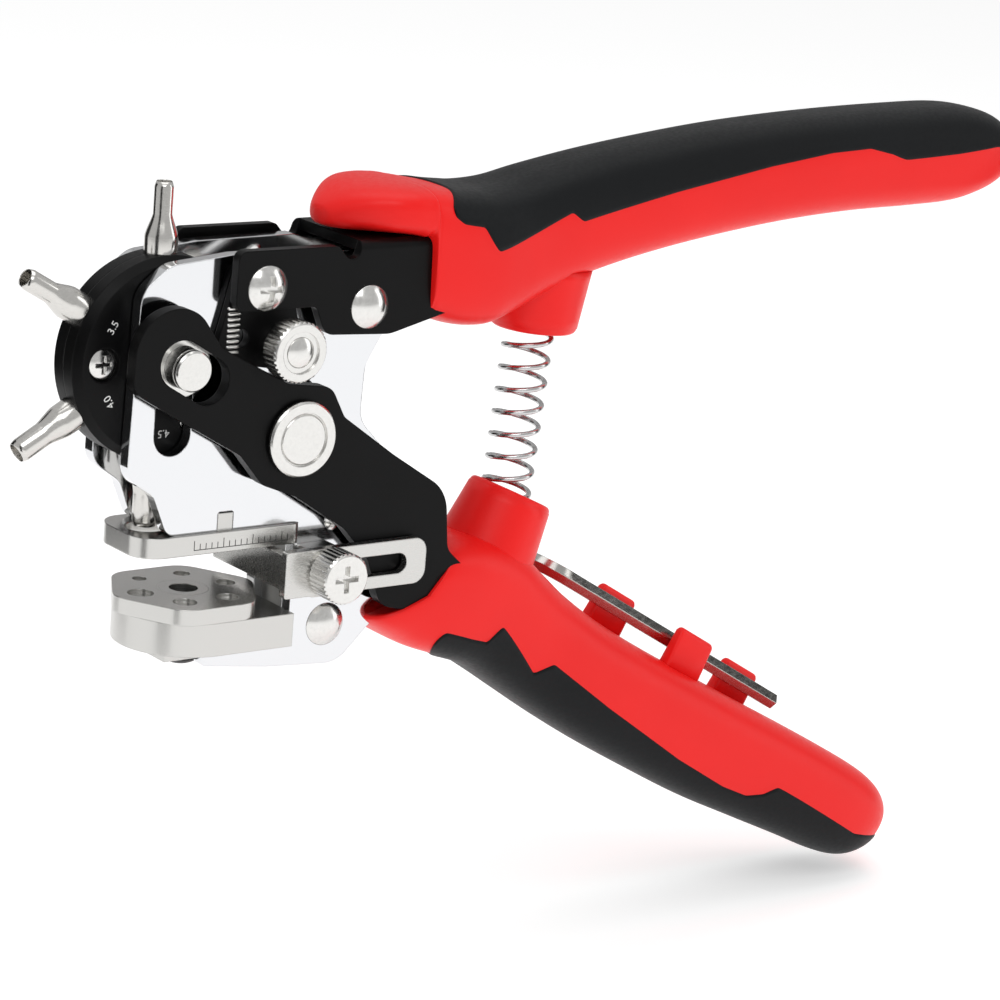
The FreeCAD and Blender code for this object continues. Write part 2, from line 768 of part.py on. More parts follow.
def latch_plate():
    """Latch on the front ear with a ribbed thumb end and a hole."""
    shape = [
        (12.0, 69.0, 3.0), (9.8, 60.0, 4.0), (7.6, 52.0, 2.5), (14.0, 48.8, 2.5),
        (20.0, 47.8, 2.0), (26.5, 48.6, 3.0), (27.0, 57.0, 4.0), (23.5, 69.0, 3.0),
    ]
    y0 = -latch_in - latch_t
    plate = slab(shape, y0, -latch_in)
    holes = [
        pin(ear_x, ear_z, ear_pin_r + pin_fit, -30, 0),
        pin(13.4, 54.4, 1.9, -30, 0),
        pin(knob_x, knob_z, 1.8, -30, 0),
    ]
    return plate.cut(holes)


def latch_knob():
    """Knurled stop knob on the latch, just above the lever's top edge."""
    back = -latch_in - latch_t
    start = -lever_out - 0.4
    stem = pin(knob_x, knob_z, knob_stem_r, start, back)
    barrel = knurled(knob_x, knob_z, knob_r, start - knob_long, start, 36, 0.28)
    recess = pin(knob_x, knob_z, 4.3, start - knob_long - 1, start - knob_long + 0.5)
    body = barrel.fuse(stem).cut(recess)
    return body.cut(pin(knob_x, knob_z, 1.8, -30, 0))


def latch_pin():
    """Pin that rivets the knob to the latch plate."""
    face = -lever_out - 0.4 - knob_long + 0.5
    head = dome(knob_x, knob_z, 3.2, face, 0.9)
    stem = pin(knob_x, knob_z, 1.8, face, -latch_in)
    return head.fuse(stem)


def anvil_disc():
    """Six-lobed anvil with a land for each punch tube."""
    corners = []
    for i in range(6):
        a = math.radians(60 * i)
        corners.append((anvil_x + anvil_lobe * math.cos(a), anvil_lobe * math.sin(a), 6.0))
    face = Part.Face(outline(corners))
    disc = face.extrude(V(0, anvil_t, 0))
    disc.rotate(V(0, 0, 0), V(1, 0, 0), 90)
    disc.translate(V(0, 0, -anvil_t))
    cuts = [post(anvil_x, 0, insert_r, -9, 9)]
    for i in range(6):
        a = math.radians(180 + 60 * i)
        x = anvil_x + anvil_land * math.cos(a)
        y = anvil_land * math.sin(a)
        cuts.append(post(x, y, tube_bores[i] / 2 + 0.5, -0.8, 9))
    return disc.cut(cuts)


def anvil_insert():
    """Threaded bush in the anvil's centre."""
    bush = post(anvil_x, 0, insert_r, -anvil_t, 0)
    return bush.cut(post(anvil_x, 0, insert_hole_r, -9, 9))


def guide_bar():
    """Slotted guide bar with the stop face folded across the throat."""
    bar = slab([
        (24.2, guide_low, 0.5), (24.2, guide_high, 0.5),
        (59.0, guide_high, 3.0), (59.0, guide_low, 3.0),
    ], -guide_out, -guide_in)
    z = thumb_z
    long_slot = slot_along(thumb_x, z, thumb_x + guide_travel + 2.0, z, thumb_stem_r + 0.2, -30, 0)
    bar = bar.cut(long_slot)
    stop_top = strip_bottom - 0.4
    stop = box(24.2, 26.2, -guide_out + 0.3, 11.0, stop_low, stop_top)
    return bar.fuse(stop).removeSplitter()


def thumb_screw():
    """Knurled thumb screw that clamps the guide bar."""
    back = -guide_out - 0.1
    end = back - thumb_long
    barrel = knurled(thumb_x, thumb_z, thumb_r, end, back, 32, 0.25)
    stem = pin(thumb_x, thumb_z, thumb_stem_r, back, -4.0)
    floor = end + 1.2
    cross = box(thumb_x - 0.6, thumb_x + 0.6, -40, floor, thumb_z - 2.8, thumb_z + 2.8)
    bar = box(thumb_x - 2.8, thumb_x + 2.8, -40, floor, thumb_z - 0.6, thumb_z + 0.6)
    return barrel.fuse(stem).cut([cross, bar])


def save(name, shape):
    shape.exportStep("parts/" + name + ".step")
    b = shape.BoundBox
    ok = shape.isValid()
    print("%-18s %d solids, valid %s, %.0f mm3, x %.1f..%.1f y %.1f..%.1f z %.1f..%.1f" % (
        name, len(shape.Solids), ok, shape.Volume, b.XMin, b.XMax, b.YMin, b.YMax, b.ZMin, b.ZMax))


os.makedirs("parts", exist_ok=True)
if __name__ == "__main__":
    plate = side_plate()
    save("side_plate_front", plate)
    save("side_plate_rear", rear(plate))
    channel = upper_channel()
    save("upper_channel", channel)
    pads = channel_pads()
    save("channel_pads", pads)
    save("ear_spacer", ear_spacer())
    save("ear_screws", ear_screws())
    core = upper_core()
    save("upper_core", core)
    rivet = channel_rivet()
    save("channel_rivet", rivet)
    save("pivot_pins", pivot_pins())
    save("jaw_block", jaw_block())
    save("jaw_rivets", jaw_rivets())
    save("anvil_block", anvil_block())
    save("anvil_screw", anvil_screw())
    save("stripper_plate", stripper_plate())
    save("guide_rail", guide_rail())

    save("wheel_front", wheel_half_disc(True))
    save("wheel_rear", wheel_half_disc(False))
    save("wheel_screws", wheel_screws())
    save("wheel_hub", wheel_hub())
    for i in range(tube_count):
        save("punch_tube_%d" % round(tube_bores[i] * 10), punch_tube(i))
    save("axle", axle())
    save("axle_clip", axle_clip())
    save("axle_washer", axle_washer())

    lever = lever_plate()
    lever_back = rear(lever)
    save("lever_front", lever)
    save("lever_rear", lever_back)
    tang = lever_core()
    save("lever_core", tang)
    peg = lever_rivet()
    save("lever_rivet", peg)

    skin = upper_skin()
    inside = channel.fuse([
        box(60, 78, -wall_in, wall_in, 56.5, web_bottom),
        box(50, 63.3, -wall_in, wall_in, 50, web_bottom),
    ])
    skin = skin.cut(inside)
    red = upper_body().cut([skin, inside, core])
    save("upper_grip", red)
    save("upper_cover", skin)

    skin = lower_skin()
    pocket = slab(lever_outline(), -lever_out - 0.1, lever_out + 0.1)
    open_front = box(45, 60.6, -lever_in, lever_in, -30, 20)
    red = lower_body().fuse(key_clips()).cut([skin, pocket, tang, peg, open_front])
    save("lower_grip", red)
    save("lower_cover", skin)
    save("hex_key", hex_key())
    save("spring", spring())

    save("latch_plate", latch_plate())
    save("latch_knob", latch_knob())
    save("latch_pin", latch_pin())
    save("anvil_disc", anvil_disc())
    save("anvil_insert", anvil_insert())
    save("guide_bar", guide_bar())
    save("thumb_screw", thumb_screw())
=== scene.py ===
import bpy
import math
import numpy as np
from mathutils import Matrix, Vector


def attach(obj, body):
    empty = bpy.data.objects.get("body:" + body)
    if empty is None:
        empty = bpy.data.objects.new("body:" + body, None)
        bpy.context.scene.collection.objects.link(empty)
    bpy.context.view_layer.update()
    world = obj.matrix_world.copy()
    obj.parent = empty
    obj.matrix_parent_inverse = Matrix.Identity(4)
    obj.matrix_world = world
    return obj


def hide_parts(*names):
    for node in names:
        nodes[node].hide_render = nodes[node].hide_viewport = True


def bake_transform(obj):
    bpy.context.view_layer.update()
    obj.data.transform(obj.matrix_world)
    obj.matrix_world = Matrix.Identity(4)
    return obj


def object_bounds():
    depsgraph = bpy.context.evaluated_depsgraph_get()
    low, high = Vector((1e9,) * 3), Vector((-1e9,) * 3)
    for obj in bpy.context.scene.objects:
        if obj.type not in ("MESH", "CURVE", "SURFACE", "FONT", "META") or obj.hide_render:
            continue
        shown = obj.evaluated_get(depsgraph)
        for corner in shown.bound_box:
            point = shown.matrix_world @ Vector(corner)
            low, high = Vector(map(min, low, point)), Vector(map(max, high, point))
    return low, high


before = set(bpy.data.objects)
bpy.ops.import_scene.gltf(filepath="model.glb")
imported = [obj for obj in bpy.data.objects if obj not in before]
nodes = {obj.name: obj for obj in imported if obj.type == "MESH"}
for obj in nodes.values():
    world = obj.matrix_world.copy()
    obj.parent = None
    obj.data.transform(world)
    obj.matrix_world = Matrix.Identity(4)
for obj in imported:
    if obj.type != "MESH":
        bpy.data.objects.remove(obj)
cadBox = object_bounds()
mm = 0.001
print("loaded", len(nodes), "nodes")

# turns in degrees; lens, sensor and how far back, aside and up the camera stands in mm
camera = {"azimuth": 37.54, "elevation": 15.06, "roll": 4.70, "lens": 144.9144, "sensor": 36,
          "distance": 814.5285, "aside": 72.74383, "rise": 18.77782, "clip": (0.05, 20)}


def placeCamera():
    # right, up and back come from azimuth and elevation; roll turns the first two about the third
    a, e, r = (math.radians(camera[k]) for k in ("azimuth", "elevation", "roll"))
    right = Vector((math.cos(a), -math.sin(a), 0))
    back = Vector((-math.sin(a) * math.cos(e), -math.cos(a) * math.cos(e), math.sin(e)))
    up = back.cross(right)
    side = right * math.cos(r) + up * math.sin(r)
    top = up * math.cos(r) - right * math.sin(r)
    place = back * camera["distance"] + side * camera["aside"] + top * camera["rise"]
    data = bpy.data.cameras.new("camera")
    data.sensor_width = camera["sensor"]
    data.lens = camera["lens"]
    data.clip_start, data.clip_end = camera["clip"]
    made = bpy.data.objects.new("camera", data)
    turn = Matrix((side, top, back)).transposed().to_4x4()
    made.matrix_world = Matrix.Translation(place * mm) @ turn
    bpy.context.scene.collection.objects.link(made)
    bpy.context.scene.camera = made


placeCamera()
print("camera placed")


def linear(hexColour):
    channels = [int(hexColour[i:i + 2], 16) / 255 for i in (1, 3, 5)]
    return tuple(c / 12.92 if c <= 0.04045 else ((c + 0.055) / 1.055) ** 2.4 for c in channels) + (1,)


def addNode(tree, kind, settings=None, links=None):
    # settings go to inputs where the name is one, else to the node; links join sockets
    made = tree.nodes.new(kind)
    for key, value in (settings or {}).items():
        if key in made.inputs:
            made.inputs[key].default_value = value
        else:
            setattr(made, key, value)
    for key, socket in (links or {}).items():
        tree.links.new(socket, made.inputs[key])
    return made


def startMaterial(name, surface):
    made = bpy.data.materials.new(name)
    made.use_nodes = True
    tree = made.node_tree
    tree.nodes.clear()
    shader = addNode(tree, "ShaderNodeBsdfPrincipled", surface)
    out = addNode(tree, "ShaderNodeOutputMaterial")
    tree.links.new(shader.outputs["BSDF"], out.inputs["Surface"])
    place = addNode(tree, "ShaderNodeTexCoord").outputs["Object"]
    return made, tree, shader, place


def ramp(tree, source, stops):
    made = addNode(tree, "ShaderNodeValToRGB", links={"Fac": source})
    bar = made.color_ramp.elements
    while len(bar) < len(stops):
        bar.new(0.5)
    for element, (at, colour) in zip(bar, stops):
        element.position = at
        element.color = colour if len(colour) == 4 else (*colour, 1)
    return made.outputs["Color"]


platePolish = {"colour": "#DFE0E2", "roughLow": 0.06, "roughHigh": 0.14, "scratchMm": 0.35}


def polishedChromePlate():
    # rolled sheet, polished then chrome plated: near-white mirror with faint polishing lines
    p = platePolish
    made, tree, shader, place = startMaterial("polishedChromePlate", {
        "Base Color": linear(p["colour"]), "Metallic": 1.0, "Roughness": 0.1})
    turned = addNode(tree, "ShaderNodeMapping", {"Rotation": (0, math.radians(38), 0), "Scale": (1, 1, 14)},
                     {"Vector": place}).outputs["Vector"]
    lines = addNode(tree, "ShaderNodeTexNoise", {"Scale": 1 / (p["scratchMm"] * 6 * mm), "Detail": 5.0},
                    {"Vector": turned})
    soft = addNode(tree, "ShaderNodeTexNoise", {"Scale": 1 / (22 * mm), "Detail": 2.0}, {"Vector": place})
    both = addNode(tree, "ShaderNodeMath", {"operation": "MULTIPLY"})
    tree.links.new(lines.outputs["Fac"], both.inputs[0])
    tree.links.new(soft.outputs["Fac"], both.inputs[1])
    rough = addNode(tree, "ShaderNodeMapRange",
                    {"From Min": 0.1, "From Max": 0.45, "To Min": p["roughLow"], "To Max": p["roughHigh"]},
                    {"Value": both.outputs[0]})
    tree.links.new(rough.outputs["Result"], shader.inputs["Roughness"])
    edge = addNode(tree, "ShaderNodeBevel", {"samples": 6, "Radius": 0.35 * mm})
    bump = addNode(tree, "ShaderNodeBump", {"Strength": 0.03, "Distance": 0.02 * mm},
                   {"Height": lines.outputs["Fac"], "Normal": edge.outputs["Normal"]})
    tree.links.new(bump.outputs["Normal"], shader.inputs["Normal"])
    return made


coatedSteel = {"colour": "#060606", "grainMm": 0.25}


def blackCoatedSteel():
    # stamped steel with a satin black electro-coat: soft gloss, fine orange peel, thin bright edges
    p = coatedSteel
    made, tree, shader, place = startMaterial("blackElectroCoatedSteel", {
        "Base Color": linear(p["colour"]), "Metallic": 0.0, "Roughness": 0.36, "IOR": 1.5,
        "Specular IOR Level": 0.12})
    peel = addNode(tree, "ShaderNodeTexNoise", {"Scale": 1 / (p["grainMm"] * 4 * mm), "Detail": 4.0},
                   {"Vector": place})
    cloud = addNode(tree, "ShaderNodeTexNoise", {"Scale": 1 / (9 * mm), "Detail": 3.0}, {"Vector": place})
    rough = addNode(tree, "ShaderNodeMapRange",
                    {"From Min": 0.3, "From Max": 0.7, "To Min": 0.3, "To Max": 0.44},
                    {"Value": cloud.outputs["Fac"]})
    tree.links.new(rough.outputs["Result"], shader.inputs["Roughness"])
    wear = ramp(tree, cloud.outputs["Fac"], [(0.3, linear(p["colour"])), (0.75, linear("#0B0B0C"))])
    tree.links.new(wear, shader.inputs["Base Color"])
    edge = addNode(tree, "ShaderNodeBevel", {"samples": 6, "Radius": 0.4 * mm})
    bump = addNode(tree, "ShaderNodeBump", {"Strength": 0.12, "Distance": 0.03 * mm},
                   {"Height": peel.outputs["Fac"], "Normal": edge.outputs["Normal"]})
    tree.links.new(bump.outputs["Normal"], shader.inputs["Normal"])
    return made


def brightMetal(name, colour, roughLow, roughHigh, grainMm, stretch, bevelMm, bumpStrength, deep=0.86):
    made, tree, shader, place = startMaterial(name, {
        "Base Color": linear(colour), "Metallic": 1.0, "Roughness": (roughLow + roughHigh) / 2})
    long = addNode(tree, "ShaderNodeMapping", {"Scale": stretch}, {"Vector": place}).outputs["Vector"]
    grain = addNode(tree, "ShaderNodeTexNoise",
                    {"Scale": 1 / (grainMm * 4 * mm), "Detail": 5.0, "Roughness": 0.65},
                    {"Vector": long})
    rough = addNode(tree, "ShaderNodeMapRange",
                    {"From Min": 0.3, "From Max": 0.7, "To Min": roughLow, "To Max": roughHigh},
                    {"Value": grain.outputs["Fac"]})
    tree.links.new(rough.outputs["Result"], shader.inputs["Roughness"])
    dark = tuple(c * deep for c in linear(colour)[:3])
    tone = ramp(tree, grain.outputs["Fac"], [(0.25, dark), (0.75, linear(colour))])
    tree.links.new(tone, shader.inputs["Base Color"])
    edge = addNode(tree, "ShaderNodeBevel", {"samples": 6, "Radius": bevelMm * mm})
    bump = addNode(tree, "ShaderNodeBump", {"Strength": bumpStrength, "Distance": 0.02 * mm},
                   {"Height": grain.outputs["Fac"], "Normal": edge.outputs["Normal"]})
    tree.links.new(bump.outputs["Normal"], shader.inputs["Normal"])
    return made


def mouldedPlastic(name, colour, deep, rough, grainMm, strength, sheen, gloss):
    # grain of a spark-eroded mould on a slightly clouded solid colour
    made, tree, shader, place = startMaterial(name, {
        "Base Color": linear(colour), "Roughness": rough, "IOR": 1.47, "Sheen Weight": sheen,
        "Sheen Roughness": 0.4, "Specular IOR Level": gloss})
    cloud = addNode(tree, "ShaderNodeTexNoise", {"Scale": 1 / (30 * mm), "Detail": 3.0}, {"Vector": place})
    tone = ramp(tree, cloud.outputs["Fac"], [(0.3, linear(deep)), (0.7, linear(colour))])
    tree.links.new(tone, shader.inputs["Base Color"])
    grain = addNode(tree, "ShaderNodeTexNoise", {"Scale": 1 / (grainMm * 3 * mm), "Detail": 3.0},
                    {"Vector": place})
    spread = addNode(tree, "ShaderNodeMapRange",
                     {"From Min": 0.3, "From Max": 0.7, "To Min": rough - 0.05, "To Max": rough + 0.06},
                     {"Value": grain.outputs["Fac"]})
    tree.links.new(spread.outputs["Result"], shader.inputs["Roughness"])
    bump = addNode(tree, "ShaderNodeBump", {"Strength": strength, "Distance": 0.04 * mm},
                   {"Height": grain.outputs["Fac"]})
    tree.links.new(bump.outputs["Normal"], shader.inputs["Normal"])
    return made


chromePlate = polishedChromePlate()
blackSteel = blackCoatedSteel()
# turned and bright nickel plated: rivets, screws, knob, axle
brightNickel = brightMetal("turnedBrightNickel", "#E4E3E0", 0.14, 0.26, 0.2, (1, 1, 1), 0.25, 0.05)
# ground and bright nickel plated tubes
tubeNickel = brightMetal("groundNickelTube", "#D8D6D2", 0.12, 0.24, 0.25, (1, 1, 6), 0.15, 0.06)
# cast and blasted, then satin nickel plated: anvil, stripper and guide bar
satinNickel = brightMetal("satinNickelSteel", "#CBCAC7", 0.24, 0.27, 0.2, (1, 1, 1), 0.35, 0.01, 0.985)
# wire brushed along its length: guide bar
brushedSteel = brightMetal("brushedNickelBar", "#CFCECB", 0.22, 0.3, 0.1, (0.12, 1, 1.6), 0.4, 0.04, 0.94)
# drawn music wire
springWire = brightMetal("drawnSpringWire", "#CFCFCF", 0.16, 0.28, 0.2, (1, 1, 1), 0.05, 0.05)
# hot rolled bar, hidden in the tool
plainSteel = brightMetal("rolledSteelBar", "#9A9A98", 0.35, 0.5, 0.3, (0.3, 1, 1), 0.3, 0.3)
# drawn alloy steel, nickel plated
keySteel = brightMetal("nickelPlatedKeySteel", "#BDBBB7", 0.14, 0.26, 0.2, (0.3, 1, 1), 0.3, 0.06)
# injection moulded polypropylene, satin from its mould
redPlastic = mouldedPlastic("mouldedRedPolypropylene", "#EE1B19", "#E81715", 0.38, 0.35, 0.10, 0.0, 0.28)
# soft overmoulded rubber
blackRubber = mouldedPlastic("mouldedBlackTpr", "#0F1113", "#0B0D0F", 0.5, 0.3, 0.22, 0.05, 0.16)



def markInk(name, low, high, settings, fleckMm=0.6):
    # a thin line of ink or etch, its tone a little uneven from fleck to fleck
    made, tree, shader, place = startMaterial(name, settings)
    fleck = addNode(tree, "ShaderNodeTexNoise", {"Scale": 1 / (fleckMm * mm), "Detail": 2.0},
                    {"Vector": place})
    tone = ramp(tree, fleck.outputs["Fac"], [(0.3, linear(low)), (0.6, linear(high))])
    tree.links.new(tone, shader.inputs["Base Color"])
    return made


# pad printed on the wheel's black coat: flat, chalky white
whiteInk = markInk("padPrintedWhiteInk", "#D9D9D7", "#F0F0EE", {"Roughness": 0.6})
# acid etched in the guide bar: dull, dark and slightly metallic
engraved = markInk("etchedDarkLine", "#2E2E2D", "#4A4A48", {"Roughness": 0.55, "Metallic": 0.3})

finish = {
    "side_plate_front": chromePlate, "side_plate_rear": chromePlate, "jaw_block": plainSteel,
    "upper_channel": blackSteel, "channel_pads": blackSteel, "ear_spacer": blackSteel,
    "wheel_front": blackSteel, "wheel_rear": blackSteel, "lever_front": blackSteel,
    "lever_rear": blackSteel, "latch_plate": blackSteel, "anvil_screw": blackSteel,
    "ear_screws": brightNickel, "channel_rivet": brightNickel, "pivot_pins": brightNickel,
    "jaw_rivets": brightNickel, "axle": brightNickel, "axle_clip": brightNickel,
    "wheel_screws": brightNickel, "latch_knob": brightNickel, "latch_pin": brightNickel,
    "thumb_screw": brightNickel, "anvil_block": satinNickel, "anvil_disc": satinNickel,
    "anvil_insert": satinNickel, "stripper_plate": satinNickel, "guide_bar": brushedSteel,
    "guide_rail": satinNickel, "upper_core": plainSteel, "lever_core": plainSteel,
    "lever_rivet": blackSteel, "axle_washer": plainSteel, "wheel_hub": plainSteel,
    "upper_grip": redPlastic, "lower_grip": redPlastic, "upper_cover": blackRubber,
    "lower_cover": blackRubber, "hex_key": keySteel, "spring": springWire,
}
for name, piece in nodes.items():
    wanted = finish.get(name, tubeNickel if name.startswith("punch_tube") else satinNickel)
    piece.data.materials.clear()
    piece.data.materials.append(wanted)
print("materials ready")


def putMesh(name, points, faces, material, body, slotName, smooth=True):
    data = bpy.data.meshes.new(name)
    data.from_pydata(np.asarray(points, float).reshape(-1, 3) * mm, [], [tuple(f) for f in faces])
    data.validate()
    data.polygons.foreach_set("use_smooth", np.full(len(data.polygons), smooth))
    data.materials.append(material)
    made = bpy.data.objects.new(name, data)
    bpy.context.scene.collection.objects.link(made)
    if body:
        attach(made, body)
    return made


def gridFaces(rows, cols, closed, offset=0):
    # quads between neighbouring rows; closed joins the last column to the first
    r = np.arange(rows - 1)[:, None]
    c = np.arange(cols if closed else cols - 1)[None, :]
    n = (c + 1) % cols
    quads = np.stack([r * cols + c, r * cols + n, (r + 1) * cols + n, (r + 1) * cols + c], -1)
    return quads.reshape(-1, 4) + offset


def putTube(name, rings, material, body, slotName, flip=False, **more):
    # rings is (rows, cols, 3); both ends close on a pole at the ring's middle
    rows, cols = rings.shape[:2]
    points = np.concatenate([rings.reshape(-1, 3), rings[:1].mean(1), rings[-1:].mean(1)])
    faces = [tuple(f) for f in gridFaces(rows, cols, True)]
    around = np.arange(cols)
    ahead = (around + 1) % cols
    first, last = rows * cols, rows * cols + 1
    faces += [(first, b, a) for a, b in zip(around, ahead)]
    base = (rows - 1) * cols
    faces += [(last, base + a, base + b) for a, b in zip(around, ahead)]
    if flip:
        faces = [f[::-1] for f in faces]
    return putMesh(name, points, faces, material, body, slotName, **more)


def smoothRows(rows, count):
    # Catmull-Rom curve through the rows, evenly spread along the first column's travel
    rows = np.asarray(rows, float)
    padded = np.vstack([2 * rows[0] - rows[1], rows, 2 * rows[-1] - rows[-2]])
    knots = np.arange(len(rows))
    fine = np.linspace(0, len(rows) - 1, count)
    i = np.minimum(fine.astype(int), len(rows) - 2)
    t = (fine - i)[:, None]
    a, b, c, d = padded[i], padded[i + 1], padded[i + 2], padded[i + 3]
    square, cube = 2 * a - 5 * b + 4 * c - d, 3 * b - a - 3 * c + d
    return 0.5 * (2 * b + (c - a) * t + square * t ** 2 + cube * t ** 3)


def squircle(angle, power):
    # |y|^power + |z|^power = 1 at each angle: a circle at 2, nearly a square above 4
    c, s = np.cos(angle), np.sin(angle)
    return np.sign(c) * np.abs(c) ** (2 / power), np.sign(s) * np.abs(s) ** (2 / power)


def evenAngles(count, power):
    # angles whose points lie evenly round the squircle
    fine = np.linspace(-math.pi, math.pi, 2001)
    y, z = squircle(fine, power)
    length = np.concatenate([[0], np.cumsum(np.hypot(np.diff(y), np.diff(z)))])
    return np.interp(np.linspace(0, length[-1], count, endpoint=False), length, fine)


# each row: place along the grip, top, bottom, half width, squareness
upperGrip = {
    "rows": [(37.0, 77.4, 74.7, 1.6, 2.4), (37.5, 78.4, 74.2, 3.6, 2.5), (39.0, 79.8, 73.8, 5.6, 2.7),
             (41.4, 81.3, 73.5, 8.0, 2.9), (44.4, 82.4, 73.4, 10.6, 3.1), (48.0, 83.0, 73.2, 13.0, 3.2),
             (52.0, 83.1, 72.8, 14.2, 3.3), (55.4, 82.9, 72.0, 14.5, 3.4), (57.0, 82.7, 70.6, 14.6, 3.6),
             (57.6, 82.6, 57.2, 14.6, 3.9), (58.4, 82.5, 55.4, 14.7, 4.0), (61.0, 82.0, 54.5, 14.8, 4.0),
             (66.0, 81.1, 53.0, 14.9, 3.9), (71.0, 80.6, 52.2, 14.8, 3.7), (76.0, 80.4, 52.3, 14.5, 3.5),
             (83.0, 81.2, 54.4, 13.6, 3.2), (92.0, 83.4, 57.6, 12.7, 3.0), (106.0, 86.1, 61.4, 12.1, 2.8),
             (122.0, 88.3, 64.7, 12.0, 2.8), (140.0, 90.3, 67.4, 12.0, 2.8), (158.0, 91.6, 69.4, 12.0, 2.8),
             (176.0, 92.4, 70.5, 12.0, 2.8), (193.0, 92.8, 70.8, 12.0, 2.8), (205.0, 92.8, 71.3, 12.0, 2.8),
             (212.5, 92.0, 72.7, 11.6, 2.7), (218.0, 90.4, 74.6, 10.4, 2.6), (221.0, 88.1, 76.6, 8.2, 2.4),
             (222.8, 85.9, 78.6, 5.4, 2.2), (223.5, 83.6, 80.6, 2.2, 2.0)],
    "bow": [(59.4, 6.0), (84.0, 0.0)],
    "zigzag": [(59.4, 82.2), (59.9, 79.5), (60.8, 77.0), (63.4, 75.1), (68.8, 74.1), (73.0, 67.8),
               (93.1, 75.4), (96.2, 72.9), (121.3, 78.1), (146.9, 82.6), (164.4, 84.9), (175.4, 85.4),
               (181.9, 83.7), (186.3, 81.7), (201.6, 82.7), (213.8, 84.0), (223.3, 83.0)],
}
lowerGrip = {
    "tilt": 30.0, "lean": [(55.5, 2.0, 8.5), (58.0, 1.5, 7.0), (72.0, 0.0, 0.0)], "pocket": (8.0, 0.945),
    "bow": [(60.4, 12.0), (92.0, 0.0)],
    "rows": [(55.5, 38.0, 17.6, 14.0, 4.0), (55.9, 39.2, 17.0, 14.5, 4.0), (57.6, 40.6, 16.6, 14.7, 3.9),
             (61.0, 42.6, 16.4, 14.7, 3.6), (66.0, 44.6, 16.6, 14.5, 3.5), (73.0, 46.2, 18.3, 14.0, 3.3),
             (80.0, 46.4, 19.4, 13.4, 3.2), (88.0, 45.0, 19.2, 12.8, 3.0), (97.0, 43.4, 18.6, 12.2, 2.9),
             (110.0, 42.2, 17.8, 12.0, 2.8), (125.0, 42.0, 17.4, 12.0, 2.8), (142.0, 42.4, 17.6, 12.0, 2.8),
             (158.0, 42.9, 18.1, 12.0, 2.8), (174.0, 43.5, 19.5, 12.0, 2.8), (190.0, 43.9, 21.0, 12.0, 2.8),
             (202.0, 43.9, 22.0, 11.8, 2.7), (209.0, 43.2, 23.4, 11.0, 2.6), (214.0, 41.6, 26.2, 9.0, 2.4),
             (216.8, 39.2, 29.4, 6.2, 2.2), (217.8, 36.2, 32.6, 2.6, 2.0)],
    "zigzag": [(60.4, 15.6), (63.2, 18.7), (65.4, 23.5), (76.1, 26.2), (78.1, 31.6), (93.5, 25.5),
               (97.3, 30.0), (117.6, 27.4), (143.9, 25.0), (160.3, 24.6), (168.1, 25.4), (172.4, 27.8),
               (175.6, 31.6), (205.2, 30.4), (217.5, 33.5)],
}
overmould = {"proud": 0.35, "sunk": 0.9, "edge": 1.3, "back": 1.4}


def gripFrame(tilt):
    # directions along the grip and up across it, in the XZ plane
    a = math.radians(tilt)
    return np.array([math.cos(a), 0, -math.sin(a)]), np.array([math.sin(a), 0, math.cos(a)])


def leanAt(spec, at, z):
    # how far a point at height share z stands ahead of the ring's middle, above and below it
    table = np.array(spec.get("lean", [(0, 0, 0), (1, 0, 0)]), float)
    above, below = (np.interp(at, table[:, 0], table[:, k])[:, None] for k in (1, 2))
    return np.where(z > 0, above, below) * z


def gripRings(spec, along=220, around=112):
    # at each place a squircle stands between the bottom and top lines
    rows = smoothRows(spec["rows"], along)
    ahead, across = gripFrame(spec.get("tilt", 0))
    angle = evenAngles(around, 3.0)
    y, z = squircle(angle[None, :], rows[:, 4:5])
    middle = (rows[:, 1:2] + rows[:, 2:3]) / 2
    height = (rows[:, 1:2] - rows[:, 2:3]) / 2
    place = rows[:, 0:1] + leanAt(spec, rows[:, 0], z)
    rings = place[..., None] * ahead + (middle + height * z)[..., None] * across
    rings = rings + (rows[:, 3:4] * y)[..., None] * np.array([0, 1, 0])
    if "pocket" not in spec:
        return rings
    # the open front: the first ring drawn in and carried back into the grip, less so at its foot
    deep, share = spec["pocket"]
    centre = rings[0].mean(0)
    lip = centre + (rings[0] - centre) * share
    depth = deep * np.clip((z[0] - 0.05) / 0.4, 0.03, 1)[:, None] * ahead
    inside = np.stack([lip + depth, lip + depth * 0.94, lip + depth * 0.06, lip + depth * 0.005])
    return np.concatenate([inside, rings])


